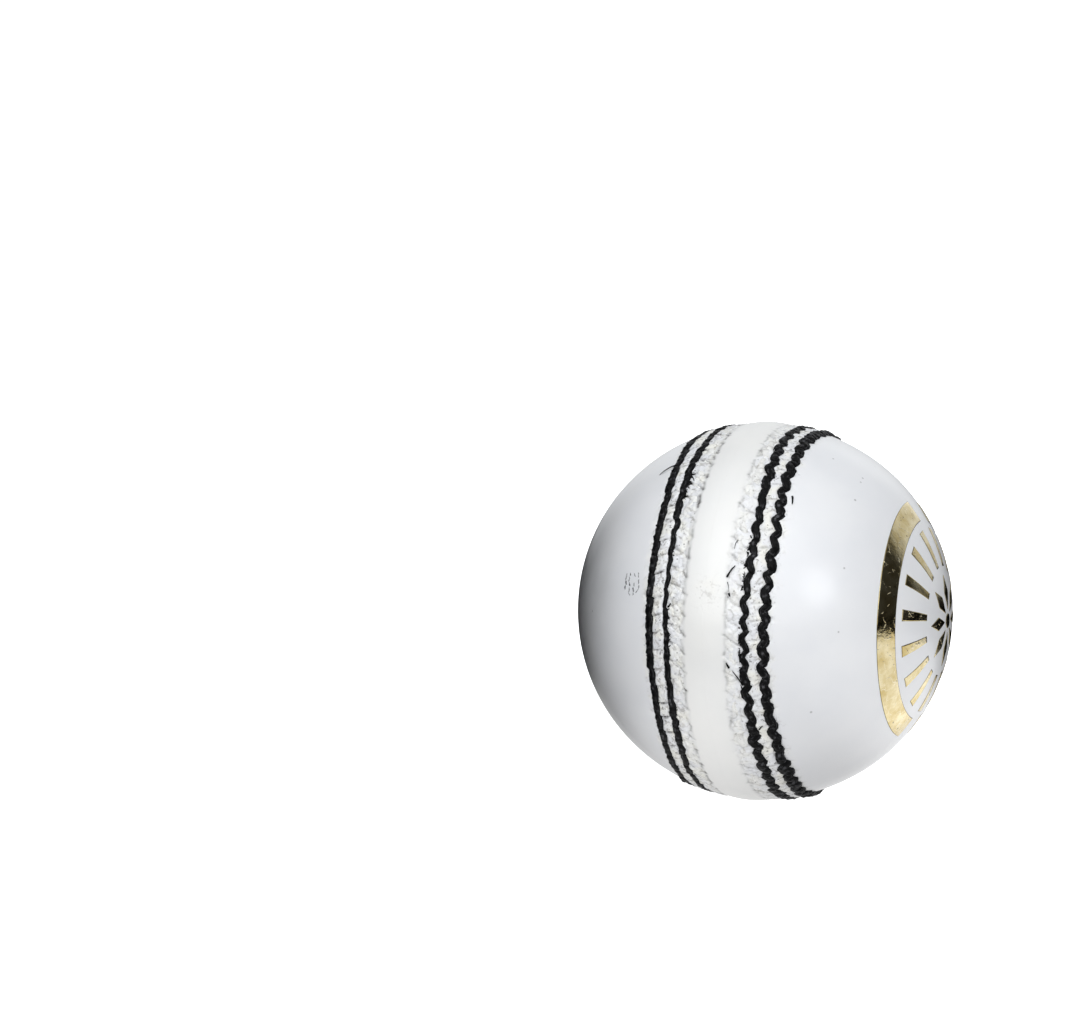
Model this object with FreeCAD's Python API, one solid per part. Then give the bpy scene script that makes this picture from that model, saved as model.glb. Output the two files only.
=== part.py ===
"""Cricket ball: a quilted cork core, two moulded leather cups and a raised six-row seam.

Millimetres. The origin is the ball's centre. The seam lies in the YZ plane, +X points at the
pole of the stamped cup, and +Z is up. A latitude is an angle from the seam plane towards a
pole; a longitude is an angle about the X axis, counted from +Z.
"""
import FreeCAD, Part
import math
import os

Vector = FreeCAD.Vector
CENTRE = Vector(0, 0, 0)
X_AXIS = Vector(1, 0, 0)
Y_AXIS = Vector(0, 1, 0)
Z_AXIS = Vector(0, 0, 1)
FULL_TURN = 360.0

# Leather case
LEATHER_RADIUS = 35.8
LEATHER_THICKNESS = 3.7
SEAM_JOINT_GAP = 0.02
RIDGE_HEIGHT = 0.5
RIDGE_EDGE_HEIGHT = 0.3
RIDGE_EDGE_LATITUDE = 6.2
PAD_HEIGHT = 0.12

# Stitch rows of one cup, and the grooves that the threads lie in
PRIMARY_LATITUDE = 8.4
INNER_LATITUDE = 12.1
OUTER_LATITUDE = 17.6
GROOVE_HALF_WIDTH = 1.4
PRIMARY_GROOVE_HALF_WIDTH = 1.3
GROOVE_DEPTH = 0.8
STITCHES_PER_ROW = 64

# Threads
THREAD_RADIUS = 0.55
THREAD_CENTRE_RADIUS = 35.65
BEND_RADIUS = 0.6
HIDDEN_THREAD_RADIUS = 0.45
AWL_HOLE_RADIUS = 0.5
END_ROUNDING_RADIUS = 0.53
RUN_SHARE = 0.64
RUN_WAVE = 0.3
PAIR_BRIDGE_RADIUS = 33.9
PRIMARY_BRIDGE_RADIUS = 33.0

# Core: a die-shaped cork nucleus, then courses of cork strips and wound yarn
NUCLEUS_RADIUS = 13.0
NUCLEUS_SIDE = 21.0
COURSE_GAP = 0.02
STRIP_GAP = 0.3
STRIP_END_LATITUDE = 82.0
YARN_OUTER_RADII = (14.5, 19.5, 24.5, 29.2, 32.0)
CORK_COURSES = ((17.0, 4, Z_AXIS), (22.0, 4, X_AXIS), (27.0, 6, Y_AXIS), (30.8, 6, Z_AXIS))

# Gold foil stamp on the right cup's pole and ink mark on the left cup
FOIL_THICKNESS = 0.05
FOIL_GAP = 0.01
ARC_INNER_COLATITUDE = 31.3
ARC_OUTER_COLATITUDE = 38.3
ARC_COUNT = 2
ARC_SPAN = 162.0
ARC_START = 3.0
RAY_COUNT = 16
RAY_INNER_RADIUS = 10.2
RAY_OUTER_RADIUS = 17.2
RAY_INNER_HALF_WIDTH = 0.6
RAY_OUTER_HALF_WIDTH = 1.1
RAY_START = 12.5
PETAL_COUNT = 8
PETAL_INNER_RADIUS = 2.2
PETAL_OUTER_RADIUS = 8.6
PETAL_HALF_WIDTH = 1.3
HUB_RADIUS = 1.4
INK_LATITUDE = -25.5
INK_LONGITUDE = 75.6
INK_DASH_COUNT = 4
INK_DASH_LENGTH = 4.2
INK_DASH_WIDTH = 0.4
INK_DASH_PITCH = 1.1

STITCH_PITCH = FULL_TURN / STITCHES_PER_ROW


def on_ball(radius, latitude, longitude=0.0):
    """Point at a radius, a latitude and a longitude."""
    lift = radius * math.cos(math.radians(latitude))
    turn = math.radians(longitude)
    return Vector(radius * math.sin(math.radians(latitude)), -lift * math.sin(turn), lift * math.cos(turn))


def arc_edge(start, middle, end):
    """Edge along the circle through three points."""
    return Part.Arc(start, middle, end).toShape()


def line_edge(start, end):
    """Straight edge between two points."""
    return Part.LineSegment(start, end).toShape()


def solid_of(shape):
    """The one solid that a boolean result holds."""
    if len(shape.Solids) != 1:
        raise ValueError("expected one solid, found %d" % len(shape.Solids))
    return shape.Solids[0]


def turned_copies(shape, count, axis=X_AXIS):
    """Copies of a shape, evenly spaced about an axis through the centre."""
    copies = []
    for index in range(count):
        copy = shape.copy()
        copy.rotate(CENTRE, axis, index * FULL_TURN / count)
        copies.append(copy)
    return copies


# ---- core ----

def cork_nucleus():
    """Cork cube with its corners ground round, like a die."""
    corner = Vector(-NUCLEUS_SIDE / 2, -NUCLEUS_SIDE / 2, -NUCLEUS_SIDE / 2)
    cube = Part.makeBox(NUCLEUS_SIDE, NUCLEUS_SIDE, NUCLEUS_SIDE, corner)
    return solid_of(Part.makeSphere(NUCLEUS_RADIUS).common(cube))


def first_winding(nucleus_gap):
    """Yarn that fills the nucleus out to a ball."""
    scale = (NUCLEUS_RADIUS + nucleus_gap) / NUCLEUS_RADIUS
    hollow = cork_nucleus()
    hollow.scale(scale, CENTRE)
    return solid_of(Part.makeSphere(YARN_OUTER_RADII[0]).cut(hollow))


def yarn_shell(inner_radius, outer_radius):
    """One tight winding of worsted yarn, as a closed shell."""
    return solid_of(Part.makeSphere(outer_radius).cut(Part.makeSphere(inner_radius)))


def strip_section(inner_radius, outer_radius):
    """Cross-section of a cork strip through the poles of the Z axis."""
    def point(radius, latitude):
        angle = math.radians(latitude)
        return Vector(radius * math.cos(angle), 0, radius * math.sin(angle))
    top = STRIP_END_LATITUDE
    edges = (
        arc_edge(point(outer_radius, -top), point(outer_radius, 0), point(outer_radius, top)),
        line_edge(point(outer_radius, top), point(inner_radius, top)),
        arc_edge(point(inner_radius, top), point(inner_radius, 0), point(inner_radius, -top)),
        line_edge(point(inner_radius, -top), point(outer_radius, -top)),
    )
    return Part.Face(Part.Wire(edges))


def cork_strips(inner_radius, outer_radius, count, axis):
    """Cork strips laid side by side round the ball, with their ends at the poles of an axis."""
    gap_angle = math.degrees(STRIP_GAP / inner_radius)
    strip = strip_section(inner_radius, outer_radius)
    strip = strip.revolve(CENTRE, Z_AXIS, FULL_TURN / count - gap_angle)
    strips = turned_copies(strip, count, Z_AXIS)
    tip = FreeCAD.Rotation(Z_AXIS, axis)
    for shape in strips:
        shape.rotate(CENTRE, tip.Axis, math.degrees(tip.Angle))
    return strips


# ---- leather case ----

def groove_edge(latitude, half_width):
    """Outline of a stitch groove, from its pole side to its seam side."""
    return arc_edge(
        on_ball(LEATHER_RADIUS, latitude + half_width),
        on_ball(LEATHER_RADIUS - GROOVE_DEPTH, latitude),
        on_ball(LEATHER_RADIUS, latitude - half_width),
    )


def pad_edge(pole_side, seam_side):
    """Outline of the leather that swells between two stitch rows."""
    return arc_edge(
        on_ball(LEATHER_RADIUS, pole_side),
        on_ball(LEATHER_RADIUS + PAD_HEIGHT, (pole_side + seam_side) / 2),
        on_ball(LEATHER_RADIUS, seam_side),
    )


def ridge_edges(foot_latitude):
    """Outline of the domed band that covers the joint, and the cup's flat rim under it."""
    inner_radius = LEATHER_RADIUS - LEATHER_THICKNESS
    rim_x = SEAM_JOINT_GAP / 2
    foot = on_ball(LEATHER_RADIUS, foot_latitude)
    edge = on_ball(LEATHER_RADIUS + RIDGE_EDGE_HEIGHT, RIDGE_EDGE_LATITUDE)
    shoulder = on_ball(LEATHER_RADIUS + RIDGE_HEIGHT, RIDGE_EDGE_LATITUDE / 2)
    crown = Vector(rim_x, 0, LEATHER_RADIUS + RIDGE_HEIGHT)
    rim = Vector(rim_x, 0, math.sqrt(inner_radius ** 2 - rim_x ** 2))
    return [line_edge(foot, edge), arc_edge(edge, shoulder, crown), line_edge(crown, rim)]


def cup_section():
    """Half cross-section of the right cup, from its pole on the X axis to the seam plane."""
    inner_radius = LEATHER_RADIUS - LEATHER_THICKNESS
    pole = on_ball(LEATHER_RADIUS, 90)
    inner_pole = on_ball(inner_radius, 90)
    outer_start = OUTER_LATITUDE + GROOVE_HALF_WIDTH
    edges = [
        arc_edge(pole, on_ball(LEATHER_RADIUS, (90 + outer_start) / 2), on_ball(LEATHER_RADIUS, outer_start)),
        groove_edge(OUTER_LATITUDE, GROOVE_HALF_WIDTH),
        pad_edge(OUTER_LATITUDE - GROOVE_HALF_WIDTH, INNER_LATITUDE + GROOVE_HALF_WIDTH),
        groove_edge(INNER_LATITUDE, GROOVE_HALF_WIDTH),
        pad_edge(INNER_LATITUDE - GROOVE_HALF_WIDTH, PRIMARY_LATITUDE + PRIMARY_GROOVE_HALF_WIDTH),
        groove_edge(PRIMARY_LATITUDE, PRIMARY_GROOVE_HALF_WIDTH),
    ]
    edges += ridge_edges(PRIMARY_LATITUDE - PRIMARY_GROOVE_HALF_WIDTH)
    rim = edges[-1].Vertexes[-1].Point
    edges.append(arc_edge(rim, on_ball(inner_radius, 45), inner_pole))
    edges.append(line_edge(inner_pole, pole))
    return Part.Face(Part.Wire(edges))


def bridge(latitudes, deepest_radius, radius):
    """Round bar along the arc that runs under the leather from one row to the other."""
    first, second = latitudes
    return tube(
        on_ball(THREAD_CENTRE_RADIUS, first),
        on_ball(deepest_radius, (first + second) / 2),
        on_ball(THREAD_CENTRE_RADIUS, second),
        radius,
    )


def leather_cup():
    """Right cup with the awl holes of its own pair of rows and its half of the primary rows."""
    blank = cup_section().revolve(CENTRE, X_AXIS, FULL_TURN)
    blank.rotate(CENTRE, X_AXIS, STITCH_PITCH / 2)
    pair_hole = bridge((INNER_LATITUDE, OUTER_LATITUDE), PAIR_BRIDGE_RADIUS, AWL_HOLE_RADIUS)
    primary_hole = bridge((-PRIMARY_LATITUDE, PRIMARY_LATITUDE), PRIMARY_BRIDGE_RADIUS, AWL_HOLE_RADIUS)
    holes = turned_copies(pair_hole, STITCHES_PER_ROW) + turned_copies(primary_hole, STITCHES_PER_ROW)
    return solid_of(blank.cut(holes))


# ---- stitches ----

def tube(start, middle, end, radius):
    """Round bar along the arc through three points."""
    spine = arc_edge(start, middle, end)
    direction = spine.tangentAt(spine.FirstParameter)
    disc = Part.Face(Part.Wire(Part.Circle(start, direction, radius).toShape()))
    turn = math.degrees(spine.LastParameter - spine.FirstParameter)
    return disc.revolve(spine.Curve.Center, spine.Curve.Axis, turn)


def surface_run(latitude):
    """The part of a stitch that shows: it bows towards the seam and ends short of the next hole."""
    length = RUN_SHARE * STITCH_PITCH
    bow = latitude - math.copysign(RUN_WAVE, latitude)
    hole = on_ball(THREAD_CENTRE_RADIUS, latitude)
    middle = on_ball(THREAD_CENTRE_RADIUS, bow, length / 2)
    end = on_ball(THREAD_CENTRE_RADIUS, latitude, length)
    return [
        tube(hole, middle, end, THREAD_RADIUS),
        Part.makeSphere(BEND_RADIUS, hole),
        Part.makeSphere(END_ROUNDING_RADIUS, end),
    ]


def stitch_loop(latitudes, deepest_radius):
    """One stitch: a run on each of two rows, and the bridge beneath the leather between them."""
    pieces = [bridge(latitudes, deepest_radius, HIDDEN_THREAD_RADIUS)]
    for latitude in latitudes:
        pieces += surface_run(latitude)
    return solid_of(pieces[0].fuse(pieces[1:]))


def stitch_circuit(latitudes, deepest_radius):
    """All the stitches of one pair of rows."""
    loop = stitch_loop(latitudes, deepest_radius)
    return Part.makeCompound(turned_copies(loop, STITCHES_PER_ROW))


# ---- stamp and mark ----

def foil_arc():
    """Broad arc of foil round the X axis that follows the leather."""
    low = LEATHER_RADIUS + FOIL_GAP
    high = low + FOIL_THICKNESS
    inner = 90 - ARC_INNER_COLATITUDE
    outer = 90 - ARC_OUTER_COLATITUDE
    middle = (inner + outer) / 2
    edges = (
        arc_edge(on_ball(low, inner), on_ball(low, middle), on_ball(low, outer)),
        line_edge(on_ball(low, outer), on_ball(high, outer)),
        arc_edge(on_ball(high, outer), on_ball(high, middle), on_ball(high, inner)),
        line_edge(on_ball(high, inner), on_ball(low, inner)),
    )
    arc = Part.Face(Part.Wire(edges)).revolve(CENTRE, X_AXIS, ARC_SPAN)
    arc.rotate(CENTRE, X_AXIS, ARC_START)
    return arc


def foil_skin():
    """Thin dome over the right cup that the flat figures of the stamp are cut from."""
    low = Part.makeSphere(LEATHER_RADIUS + FOIL_GAP)
    high = Part.makeSphere(LEATHER_RADIUS + FOIL_GAP + FOIL_THICKNESS)
    return high.cut(low)


def prism(corners):
    """Straight bar along +X with the given outline in the YZ plane."""
    outline = Part.makePolygon(corners + corners[:1])
    return Part.Face(outline).extrude(X_AXIS * LEATHER_RADIUS * 2)


def ray_prism():
    """Tapered bar that points out from the pole."""
    return prism([
        Vector(0, RAY_INNER_HALF_WIDTH, RAY_INNER_RADIUS),
        Vector(0, RAY_OUTER_HALF_WIDTH, RAY_OUTER_RADIUS),
        Vector(0, -RAY_OUTER_HALF_WIDTH, RAY_OUTER_RADIUS),
        Vector(0, -RAY_INNER_HALF_WIDTH, RAY_INNER_RADIUS),
    ])


def petal_prism():
    """Lozenge outline that points out from the pole."""
    middle = (PETAL_INNER_RADIUS + PETAL_OUTER_RADIUS) / 2
    return prism([
        Vector(0, 0, PETAL_INNER_RADIUS),
        Vector(0, PETAL_HALF_WIDTH, middle),
        Vector(0, 0, PETAL_OUTER_RADIUS),
        Vector(0, -PETAL_HALF_WIDTH, middle),
    ])


def gold_foil_stamp():
    """Two broad arcs round a sunburst of bars and a small rosette of lozenges about a hub."""
    skin = foil_skin()
    hub_bar = Part.makeCylinder(HUB_RADIUS, LEATHER_RADIUS * 2, CENTRE, X_AXIS)
    ray = solid_of(skin.common(ray_prism()))
    ray.rotate(CENTRE, X_AXIS, RAY_START)
    petal = solid_of(skin.common(petal_prism()))
    pieces = [solid_of(skin.common(hub_bar))]
    pieces += turned_copies(foil_arc(), ARC_COUNT)
    pieces += turned_copies(ray, RAY_COUNT)
    pieces += turned_copies(petal, PETAL_COUNT)
    return Part.makeCompound(pieces)


def ink_mark():
    """Short printed dashes side by side on the left cup."""
    skin = foil_skin()
    half_length = INK_DASH_LENGTH / 2
    half_width = INK_DASH_WIDTH / 2
    dashes = []
    for index in range(INK_DASH_COUNT):
        height = (index - (INK_DASH_COUNT - 1) / 2) * INK_DASH_PITCH
        outline = prism([
            Vector(0, -half_length, height - half_width),
            Vector(0, half_length, height - half_width),
            Vector(0, half_length, height + half_width),
            Vector(0, -half_length, height + half_width),
        ])
        dashes.append(solid_of(skin.common(outline)))
    mark = Part.makeCompound(dashes)
    mark.rotate(CENTRE, Y_AXIS, INK_LATITUDE - 90)
    mark.rotate(CENTRE, X_AXIS, INK_LONGITUDE)
    return mark


# ---- assembly ----

def core_nodes():
    """Nucleus, then each cork course between two windings."""
    nodes = {"cork_nucleus": cork_nucleus(), "yarn_winding_1": first_winding(COURSE_GAP)}
    for number, (cork_outer, count, axis) in enumerate(CORK_COURSES, start=1):
        cork_inner = YARN_OUTER_RADII[number - 1] + COURSE_GAP
        for strip_number, strip in enumerate(cork_strips(cork_inner, cork_outer, count, axis), start=1):
            nodes["cork_course_%d_strip_%d" % (number, strip_number)] = strip
        winding = yarn_shell(cork_outer + COURSE_GAP, YARN_OUTER_RADII[number])
        nodes["yarn_winding_%d" % (number + 1)] = winding
    return nodes


def case_nodes():
    """Leather cups, the three circuits of thread, the stamp and the ink mark."""
    right_cup = leather_cup()
    right_thread = stitch_circuit((INNER_LATITUDE, OUTER_LATITUDE), PAIR_BRIDGE_RADIUS)
    primary_thread = stitch_circuit((-PRIMARY_LATITUDE, PRIMARY_LATITUDE), PRIMARY_BRIDGE_RADIUS)
    return {
        "leather_cup_right": right_cup,
        "leather_cup_left": right_cup.mirror(CENTRE, X_AXIS),
        "seam_thread_right": right_thread,
        "seam_thread_left": right_thread.mirror(CENTRE, X_AXIS),
        "seam_thread_primary": primary_thread,
        "gold_foil_stamp": gold_foil_stamp(),
        "ink_mark": ink_mark(),
    }


def main():
    os.makedirs("parts", exist_ok=True)
    nodes = core_nodes()
    nodes.update(case_nodes())
    for name, shape in nodes.items():
        shape.exportStep("parts/%s.step" % name)
        box = shape.BoundBox
        print("%-24s solids %3d  valid %s  volume %10.1f  x %.2f..%.2f  z %.2f..%.2f" % (
            name, len(shape.Solids), shape.isValid(), shape.Volume, box.XMin, box.XMax, box.ZMin, box.ZMax))


main()
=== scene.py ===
"""Looks of the cricket ball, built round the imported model.

The scene is in metres. The dimensions named here are in millimetres and degrees, and mesh code
turns them into metres as it writes a piece. The ball's centre is the origin and the seam lies in
the YZ plane. A latitude is an angle from the seam plane towards the right cup's pole at +X, and a
longitude is an angle about the X axis, counted from +Z towards -Y.
"""
import itertools
import math

import bpy
import numpy as np
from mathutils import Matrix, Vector


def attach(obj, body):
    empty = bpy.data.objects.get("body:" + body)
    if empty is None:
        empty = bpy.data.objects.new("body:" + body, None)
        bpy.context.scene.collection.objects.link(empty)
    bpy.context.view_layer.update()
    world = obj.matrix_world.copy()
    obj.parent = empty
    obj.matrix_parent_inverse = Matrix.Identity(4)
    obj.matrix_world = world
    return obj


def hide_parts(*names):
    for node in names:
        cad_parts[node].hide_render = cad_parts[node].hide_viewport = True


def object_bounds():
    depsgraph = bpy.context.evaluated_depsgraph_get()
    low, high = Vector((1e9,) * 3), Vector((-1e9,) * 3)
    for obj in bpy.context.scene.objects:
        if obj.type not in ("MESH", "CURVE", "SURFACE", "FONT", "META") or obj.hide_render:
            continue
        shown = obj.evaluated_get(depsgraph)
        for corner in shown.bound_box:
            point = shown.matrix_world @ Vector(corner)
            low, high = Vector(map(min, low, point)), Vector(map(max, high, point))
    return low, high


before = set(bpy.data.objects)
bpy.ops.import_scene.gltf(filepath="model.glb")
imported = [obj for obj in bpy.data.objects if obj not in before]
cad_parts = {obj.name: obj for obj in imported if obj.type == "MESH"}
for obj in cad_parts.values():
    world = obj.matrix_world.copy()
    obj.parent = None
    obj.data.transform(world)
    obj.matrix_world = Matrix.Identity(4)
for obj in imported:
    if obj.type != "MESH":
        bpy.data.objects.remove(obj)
cad_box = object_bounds()

MM = 0.001
SEED = 4711

# Leather case
LEATHER_RADIUS = 35.8
INNER_RADIUS = 32.1
RIDGE_HEIGHT = 0.5
RIDGE_EDGE_HEIGHT = 0.26
RIDGE_LATITUDE = 6.3
PUCKER_END = 21.5
BAND_FADE = (5.0, 8.5)
RIM_GAP = 0.005
POLE_DIP = 0.03
SHARP_ANGLE = 75.0
DEGREE = math.pi * LEATHER_RADIUS / 180

# Scuffed patch on the band (latitude, longitude, radius) and a faint patch of painted shade darkening the
# left cup near its edge (latitude, longitude, radii of its even part and of the whole), in degrees
SCUFF = (1.0, 77.5, 4.0)
LIMB_SHADE_PATCH = (-55.0, 74.0, 6.0, 30.0)

# Mesh density of a cup and the number of stitches
STITCHES = 64
STITCH_PITCH = 360.0 / STITCHES
COLUMNS = 18 * STITCHES
BAND_ROWS = 68
DOME_ROWS = 40
INSIDE_ROWS = 12
COARSE_COLUMNS = COLUMNS // 4
POLE_LATITUDE = 88.5

# Stitch rows: latitude, how far a stitch swings to each side and how unevenly it sinks (mm), the cord's
# width (mm, at even longitudes round the ball), and how far the row sways outwards (degrees, likewise)
ROWS = {
    "right_primary": {
        "latitude": 8.6, "swing": 0.24, "sinking": 0.11, "widths": (1.3, 1.4, 1.25, 1.4),
        "sway": (0.0, 0.15, -0.1, 0.1, 0.1, -0.1),
    },
    "right_inner": {
        "latitude": 12.1, "swing": 0.36, "widths": (1.5, 1.5, 1.05, 1.5, 1.7, 1.5, 1.4, 1.5, 1.5),
        "sway": (
            -0.3, -0.6, -0.1, 0.5, -0.3, -0.3, 0.3, 0.5, 0.2,
            -0.2, 0.1, 0.3, -0.3, -0.4, 0.2, 0.3, -0.1, 0.0,
        ),
    },
    "right_outer": {
        "latitude": 17.6, "swing": 0.35, "widths": (1.85, 1.45, 1.45, 1.65, 2.0, 1.8, 1.6, 1.7, 1.8),
        "sway": (
            -0.3, -0.4, -0.2, 0.45, -0.1, -0.5, 0.4, 0.8, 0.5,
            0.0, -0.3, 0.2, 0.4, -0.1, -0.4, 0.1, 0.3, 0.0,
        ),
    },
    "left_primary": {
        "latitude": 8.6, "swing": 0.27, "sinking": 0.1, "widths": (1.4, 1.35, 1.45, 1.4),
        "sway": (0.1, 0.2, -0.1, -0.1, 0.1, 0.0),
    },
    "left_inner": {
        "latitude": 12.1, "swing": 0.18, "widths": (1.4, 1.4, 0.85, 1.4, 1.1, 1.35, 1.4, 1.3, 1.4),
        "sway": (
            0.3, 0.6, 0.9, 0.2, 0.25, -0.4, -0.7, -0.3, 0.0,
            0.2, -0.2, 0.1, 0.3, -0.1, -0.3, 0.2, 0.3, 0.1,
        ),
    },
    "left_outer": {
        "latitude": 17.6, "swing": 0.14, "widths": (1.5, 1.6, 1.45, 1.4, 1.45, 1.5, 1.4, 1.45, 1.5),
        "sway": (
            0.6, 0.8, 0.5, 0.2, 0.25, -0.25, -0.65, -0.4, 0.0,
            0.3, 0.2, -0.2, -0.4, 0.1, 0.3, 0.0, -0.2, 0.2,
        ),
    },
}
# Sinking in the other rows (mm), and where along a stitch its crest is (share)
SINKING = 0.035
CREST_SHARE = 0.34

# Shape of a stitch: share of its length tucked into each hole, rings and sides of its mesh, how deep
# its ends dip and its tucked tips dive, its lift over the leather (mm), and its height by its width
BLACK_STITCH = {
    "tuck": 0.1, "rings": 30, "sides": 18, "dip": 0.14, "dive": 0.6, "lift": -0.08, "flatness": 0.72,
}
WHITE_STITCH = {
    "tuck": 0.1, "rings": 22, "sides": 14, "dip": 0.2, "dive": 0.6, "lift": -0.23, "flatness": 0.6,
}
# Plies of the cord, their twist (radians a millimetre) and the size of its fibres (mm)
PLIES = 3
PLY_TWIST = 2.4
FIBRE_SIZE = 0.34

# Where a stitch starts along the fibres' texture: shift per millimetre of height, and span (mm)
FIBRE_SHIFT = 100.0
FIBRE_SPAN = 50.0

# Loose fibres by cup: (latitude, longitude, height) points, and half the thickness
LOOSE_FIBRES = {
    "right": (
        (((11.2, 104.2, 0.3), (10.6, 103.2, 0.35), (9.9, 101.9, 0.4), (9.0, 100.6, 0.35),
          (8.4, 99.9, 0.3)), 0.16),
        (((7.5, 98.9, 0.3), (7.0, 98.0, 0.4), (6.7, 97.4, 0.35)), 0.24),
        (((6.1, 72.8, 0.25), (6.6, 71.6, 0.4), (7.3, 70.4, 0.4), (8.1, 69.3, 0.3)), 0.2),
        (((7.0, 77.4, 0.25), (7.2, 77.9, 0.3), (7.4, 78.3, 0.2)), 0.22),
        (((6.4, 74.2, 0.3), (6.8, 75.4, 0.35), (7.0, 76.8, 0.3)), 0.06),
        (((7.9, 61.6, 0.3), (7.3, 62.6, 0.35), (7.2, 64.4, 0.3)), 0.07),
        (((14.2, 119.5, 0.3), (14.9, 118.6, 0.4), (15.4, 118.2, 0.35)), 0.16),
        (((20.3, 43.5, 0.1), (20.7, 45.2, 0.16), (20.8, 46.4, 0.1)), 0.2),
    ),
    "left": (
        (((-18.6, 32.0, 0.3), (-20.4, 32.6, 0.45), (-22.9, 33.6, 0.3), (-24.2, 34.4, 0.15)), 0.14),
        (((-11.6, 39.0, 0.3), (-10.6, 40.0, 0.4), (-9.8, 41.6, 0.3)), 0.15),
    ),
}

# Frayed stretches by cup: first and last longitude, how many fibres, and their reach
FRAYED = {
    "right": ((56, 77, 34, 0.5), (84, 104, 22, 0.45), (104, 150, 14, 0.35)),
    "left": ((37, 49, 18, 1.2), (56, 78, 8, 0.4), (82, 98, 16, 0.6)),
}
# All the rest: first and last longitude, length of a stretch, fibres, and their reach
SPARSELY_FRAYED = (110, 400, 30, 3, 0.6)
# Start of a fibre from the row's line, and half its thickness (mm)
FRAY_ROOT = 0.65
FRAY_THICKNESSES = (0.07, 0.16)

# Gold stamp and ink mark
FOIL_TOP = 35.84
FOIL_EDGE = 35.805
FOIL_BOTTOM = 35.76
FOIL_CRINKLE = 0.006
ARC_COLATITUDES = (31.3, 38.3)
ARC_SPAN = 162.0
ARC_STARTS = (3.0, 183.0)
RAY_COUNT = 16
RAY_RADII = (10.2, 17.2)
RAY_HALF_WIDTHS = (0.6, 1.1)
RAY_START = 12.5
PETAL_COUNT = 8
PETAL_RADII = (2.2, 8.6)
PETAL_HALF_WIDTH = 1.3
HUB_RADIUS = 1.4
INK_LATITUDE = -25.5
INK_LONGITUDE = 75.6
INK_DASHES = 4
INK_LENGTH = 4.2
INK_PITCH = 1.1
FLECK_LENGTHS = (0.4, 1.3)
FLECK_WIDTHS = (0.18, 0.4)
FLECK_GAPS = (0.0, 0.25)
SHORTEST_FLECK = 0.3
FLECKS_KEPT = 0.85

# Colour of the fine dark lines over the seam's puckered leather and its white thread
SEAM_LINE_COLOUR = (0.24, 0.215, 0.185, 1)

# Camera: angles about the ball, distance in metres, and how far right of and below the picture's
# middle the ball sits, as shares of the picture's width
CAMERA_AZIMUTH = 17.45
CAMERA_ELEVATION = 7.9
CAMERA_DISTANCE = 0.4693
LENS = 81.0
SENSOR = 36.0
TARGET_RIGHT = 0.2074
TARGET_DOWN = 0.0944

# Black card that keeps light off the ball's left edge, in millimetres left of the ball's middle,
# towards the camera and up
CARD_LEFT = 44.0
CARD_ENDS = (2.0, 32.0)
CARD_HEIGHTS = (-30.0, 32.0)

# Half the floor's width, in metres
FLOOR_REACH = 6.0

# Studio light. The dome has soft round patches: azimuth from the camera's, elevation, radii of the
# even part and of the whole (degrees), and strength.
DOME_LIGHT = 0.03
DOME_PATCHES = (
    (0, 15, 0, 60, 1.5),
    (-35, 50, 0, 48, 0.9),
    (-35, 20, 0, 45, 0.75),
    (20, 85, 0, 60, 0.6),
    (180, 20, 0, 40, 0.85),
    (135, 25, 10, 35, 0.7),
    (35, 20, 5, 14, 3.3),
)
# The floor throws light up from such patches: azimuth, distance from the ball's foot, radii (mm) and
# strength.
FLOOR_PATCHES = (
    (0, 0, 0, 60, 0.6),
    (0, 60, 0, 80, 0.15),
    (-30, 60, 0, 60, 1.1),
    (135, 60, 0, 80, 0.5),
    (180, 60, 0, 80, 1.5),
    (70, 150, 105, 130, 1.0),
    (0, 300, 0, 220, 1.2),
)


# ---- numbers: directions, noise and steps ----

def direction(latitude, longitude):
    """Unit vectors at latitudes and longitudes in degrees."""
    latitude = np.radians(latitude)
    longitude = np.radians(longitude)
    lift = np.cos(latitude)
    return np.stack([np.sin(latitude), -lift * np.sin(longitude), lift * np.cos(longitude)], axis=-1)


def lattice_value(cell, seed):
    """Repeatable random number from -1 to 1 for each whole-number cell."""
    mixed = cell[..., 0] * 73856093 ^ cell[..., 1] * 19349663 ^ cell[..., 2] * 83492791 ^ (seed * 7919 + 13)
    mixed = (mixed ^ (mixed >> 13)) * 1274126177
    return ((mixed >> 9) & 0xffff) / 32767.5 - 1.0


def noise(points, size, seed):
    """Smooth noise from about -1 to 1, with bumps about `size` millimetres across."""
    scaled = points / size
    cell = np.floor(scaled).astype(np.int64)
    part = scaled - cell
    part = part * part * (3.0 - 2.0 * part)
    total = np.zeros(points.shape[:-1])
    for corner in itertools.product((0, 1), repeat=3):
        corner = np.array(corner)
        weight = np.prod(np.where(corner == 1, part, 1.0 - part), axis=-1)
        total += weight * lattice_value(cell + corner, seed)
    return total


def step(low, high, value):
    """Smooth step from 0 at low to 1 at high."""
    part = np.clip((value - low) / (high - low), 0.0, 1.0)
    return part * part * (3.0 - 2.0 * part)


def bell(distance, width):
    """Soft bell that is 1 at distance 0."""
    return np.exp(-(distance / width) ** 2)


def round_curve(knots, longitude):
    """Value at each longitude of a smooth closed curve through evenly spaced knots."""
    knots = np.asarray(knots, dtype=float)
    place = np.asarray(longitude, dtype=float) / 360.0 * len(knots)
    low = np.floor(place).astype(int)
    part = place - low
    before, here, after, later = (knots[(low + k) % len(knots)] for k in (-1, 0, 1, 2))
    bend = 2 * before - 5 * here + 4 * after - later + part * (3 * (here - after) + later - before)
    return here + 0.5 * part * (after - before + part * bend)


def stitch_wave(share):
    """Sideways swing along a stitch, from -1 to 1: quickly over to the seam side, slowly back."""
    share = np.mod(share, 1.0)
    out = -np.cos(np.pi * share / CREST_SHARE)
    back = np.cos(np.pi * (share - CREST_SHARE) / (1.0 - CREST_SHARE))
    return np.where(share < CREST_SHARE, out, back)


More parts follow.
